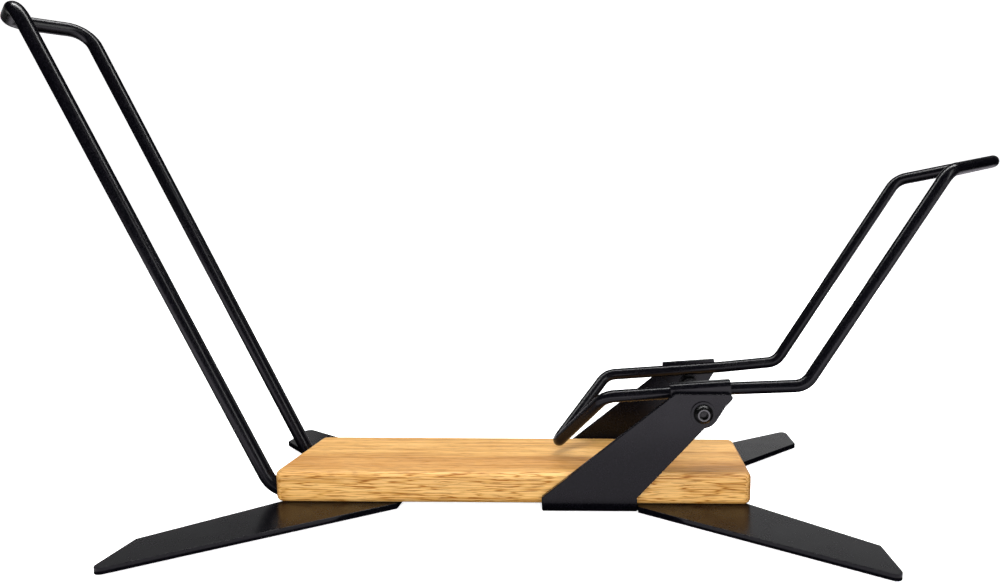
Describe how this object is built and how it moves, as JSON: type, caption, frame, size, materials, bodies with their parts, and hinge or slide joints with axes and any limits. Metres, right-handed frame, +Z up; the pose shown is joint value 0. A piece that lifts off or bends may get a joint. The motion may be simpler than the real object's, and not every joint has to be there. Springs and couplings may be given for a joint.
{
  "type": "bicycle floor stand",
  "caption": "Free-standing bicycle stand: steel base plates under an oak board, a leaning wheel hoop, and a V-ended rocker that tips up behind the wheel.",
  "frame": {"origin": "on the floor, at the middle of the stand's bounding box", "axes": "+X from the wheel hoop to the end where the wheel comes in, +Y to the right of a person who pushes the bicycle in, +Z up"},
  "size_m": [0.7441, 0.2972, 0.3664],
  "materials": {
    "oiled_oak": "matte",
    "black_powder_coat": "fine textured matte",
    "zinc_plated_steel": "satin",
    "blackened_screw_steel": "satin",
    "bush_plastic": "matte",
    "foot_rubber": "matte"
  },
  "bodies": {
    "base": {"oak_board": "oiled_oak", "front_base_plate": "black_powder_coat", "rear_base_bracket": "black_powder_coat", "wheel_hoop": "black_powder_coat", "front_plate_screws": "zinc_plated_steel", "rear_bracket_screws": "zinc_plated_steel", "foot_pad_front_left": "foot_rubber", "foot_pad_front_right": "foot_rubber", "foot_pad_rear_left": "foot_rubber", "foot_pad_rear_right": "foot_rubber", "pivot_screw_left": "blackened_screw_steel", "outer_washer_left": "black_powder_coat", "inner_washer_left": "blackened_screw_steel", "pivot_bush_left": "bush_plastic", "lock_nut_left": "blackened_screw_steel", "pivot_screw_right": "blackened_screw_steel", "outer_washer_right": "black_powder_coat", "inner_washer_right": "blackened_screw_steel", "pivot_bush_right": "bush_plastic", "lock_nut_right": "blackened_screw_steel"},
    "rocker": {"rocker_frame": "black_powder_coat", "rocker_lug_left": "black_powder_coat", "rocker_lug_right": "black_powder_coat"}
  },
  "joints": [
    {"name": "rocker_pivot", "type": "hinge", "parent": "base", "child": "rocker", "pos_m": [0.14775, 0, 0.07665], "axis": [0, 1, 0], "range_deg": [-3, 53.5]}
  ]
}
